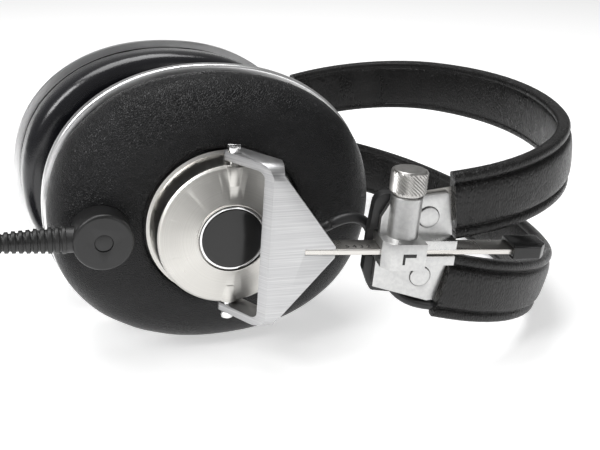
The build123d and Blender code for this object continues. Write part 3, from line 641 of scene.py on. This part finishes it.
# ---- side letters on the clamps, and the scale on the arms ----
LETTER_AT = (44.1, 4.42, 0.4)  # on the clamp's face, in front of the screw
SCALE_AT = (29.0, 2.6, 0.96)  # on the arm's upper face
for side, letter in (("left", "L"), ("right", "R")):
    s = SIGN[side]
    unflip = Matrix.Diagonal((1, s, 1, 1))
    reading = Matrix(((0, 1, 0), (0, 0, -s), (-s, 0, 0))).to_4x4()
    widened = Matrix.Diagonal((1.35, 1, 1, 1))
    mark = lettering("side_letter_" + side, letter, 6.0, 0.06, 0.14)
    on_clamp = Matrix.Translation((LETTER_AT[0], -s * LETTER_AT[1], -s * LETTER_AT[2]))
    place(mark, side_home[side] @ unflip @ on_clamp @ reading @ widened)
    dress(mark, ink, "headband")

    scale = lettering("arm_scale_" + side, "5 4 3 2", 3.0, 0.03)
    on_arm = Matrix.Translation((SCALE_AT[0], s * SCALE_AT[1], SCALE_AT[2]))
    place(scale, arm_home[side] @ unflip @ on_arm)
    dress(scale, ink, "arm_" + side)

# ---- leather covers, ear pads and foam: voxel, rounds of smoothing, waves and their size ----
for side in SIDES:
    cup = "cup_" + side
    cover = soft_copy("cup_cover_" + side, cup, cover_leather, 1.3, 7, 0.9, 26)
    pad = soft_copy("ear_pad_" + side, cup, pad_vinyl, 1.1, 26, 0.5, 30)
    disc = soft_copy("pad_foam_" + side, cup, foam, 0.9, 2, 0.5, 9)

# ---- headband straps ----
SPLAY = radians(10.8)  # of each strap from the middle
SPLAY_X = -14.8  # where the two strap planes cross
CROWN = 153.2  # from there to the outside of the crown
CROWN_R, CROWN_ARC = 112.0, 25.6
SIDE_R = 56.63  # of the bends between the crown and the straight ends
STRAP = 6.0
STRAP_START = 76.2  # from the crossing to the folded end
CROWN_STEPS, SIDE_STEPS = 8, 16
end_turn = degrees(atan(cos(SPLAY) * tan(radians(ARM_TOE))))
side_turn = 90 + end_turn - CROWN_ARC


def strap_line(set_in):
    """The middle of the U, from one folded end round the crown to the other."""
    crown_x = CROWN - CROWN_R
    reach = CROWN_R - set_in
    half = []
    for step in range(CROWN_STEPS + 1):
        angle = radians(CROWN_ARC * step / CROWN_STEPS)
        half.append((crown_x + reach * cos(angle), reach * sin(angle)))
    side_x = crown_x + (CROWN_R - SIDE_R) * cos(radians(CROWN_ARC))
    side_y = (CROWN_R - SIDE_R) * sin(radians(CROWN_ARC))
    reach = SIDE_R - set_in
    for step in range(1, SIDE_STEPS + 1):
        angle = radians(CROWN_ARC + side_turn * step / SIDE_STEPS)
        half.append((side_x + reach * cos(angle), side_y + reach * sin(angle)))
    bend_x, bend_y = half[-1]
    run = (bend_x - STRAP_START) / sin(angle)
    end_x, end_y = bend_x - run * sin(angle), bend_y + run * cos(angle)
    half += [((bend_x + end_x) / 2, (bend_y + end_y) / 2), (end_x, end_y)]
    return [(x, -y) for x, y in reversed(half)] + half[1:]


# the section: a padded panel, a crease and a rolled border along each edge
outside_half = [
    (3.0, 0),
    (2.95, 3.6),
    (2.7, 6.0),
    (2.1, 7.2),
    (0.9, 7.7),
    (1.3, 8.2),
    (2.0, 8.9),
    (2.15, 10.2),
    (1.7, 11.3),
    (0.6, 11.75),
]
inside_half = [
    (-1.4, 11.7),
    (-2.4, 11.2),
    (-2.6, 10.2),
    (-2.5, 9.3),
    (-2.1, 8.9),
    (-2.5, 8.4),
    (-2.8, 6.0),
    (-3.0, 0),
]
half_section = outside_half + inside_half
section = half_section + [(x, -y) for x, y in reversed(half_section[1:-1])]
profile_curve = bpy.data.curves.new("strap_section", "CURVE")
profile_curve.dimensions = "2D"
rim = profile_curve.splines.new("NURBS")
rim.points.add(len(section) - 1)
for spot, (x, y) in zip(rim.points, section):
    spot.co = (x, y, 0, 1)
rim.order_u = 3
rim.use_cyclic_u = True
profile_curve.resolution_u = 3
profile = bpy.data.objects.new("strap_section", profile_curve)
bpy.context.scene.collection.objects.link(profile)

for name, s in (("upper", 1), ("lower", -1)):
    path = bpy.data.curves.new("strap_path", "CURVE")
    path.dimensions = "2D"
    points = strap_line(STRAP / 2)
    line = path.splines.new("POLY")
    line.points.add(len(points) - 1)
    for spot, (x, y) in zip(line.points, points):
        spot.co = (x, y, 0, 1)
    path.bevel_mode = "OBJECT"
    path.bevel_object = profile
    path.use_fill_caps = True
    strap = bpy.data.objects.new("strap_" + name + "_made", path)
    bpy.context.scene.collection.objects.link(strap)
    strap = to_mesh(strap)
    lean = Matrix.Rotation(-s * SPLAY, 4, "Y")
    place(strap, band_home @ Matrix.Translation((SPLAY_X, 0, 0)) @ lean)
    bevel_edges(strap, 0.5, 60)
    smooth(strap, 50)
    dress(strap, strap_leather, "headband")
    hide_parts("strap_" + name)
bpy.data.objects.remove(profile)

# ---- floor and light ----
bpy.ops.object.select_all(action="DESELECT")
bpy.ops.mesh.primitive_plane_add(size=8, location=(0, 0, -0.0003))
floor = bpy.context.active_object
floor.name = "floor"
glow = {"Emission_Color": (1, 1, 1, 1), "Emission_Strength": 0.5}
pale, tree, shader, spot = start_material("pale_floor", Roughness=0.9, **glow)
link(tree, tint(tree, noise_node(tree, spot, 3.0), grey(0.93), grey(0.95)), shader.inputs["Base Color"])
floor.data.materials.append(pale)


def soft_light(name, spot, aim, size, power):
    data = bpy.data.lights.new(name, "AREA")
    data.shape = "RECTANGLE"
    data.size, data.size_y = size
    data.energy = power
    lamp = bpy.data.objects.new(name, data)
    bpy.context.scene.collection.objects.link(lamp)
    lamp.location = spot
    lamp.rotation_euler = (Vector(aim) - Vector(spot)).to_track_quat("-Z", "Y").to_euler()


soft_light("top_light", (-0.1, 0.15, 0.9), (0, 0, 0.03), (0.8, 0.45), 5.0)
soft_light("left_light", (-0.75, -0.3, 0.75), (0, 0, 0.05), (0.3, 0.5), 4.5)
soft_light("front_light", (0.5, -0.9, 0.5), (0, 0, 0.05), (0.35, 0.4), 1.0)
world = bpy.data.worlds.new("studio")
bpy.context.scene.world = world
world.use_nodes = True
world.node_tree.nodes["Background"].inputs["Color"].default_value = (1, 1, 1, 1)
world.node_tree.nodes["Background"].inputs["Strength"].default_value = 0.22
bpy.context.scene.view_settings.view_transform = "Standard"
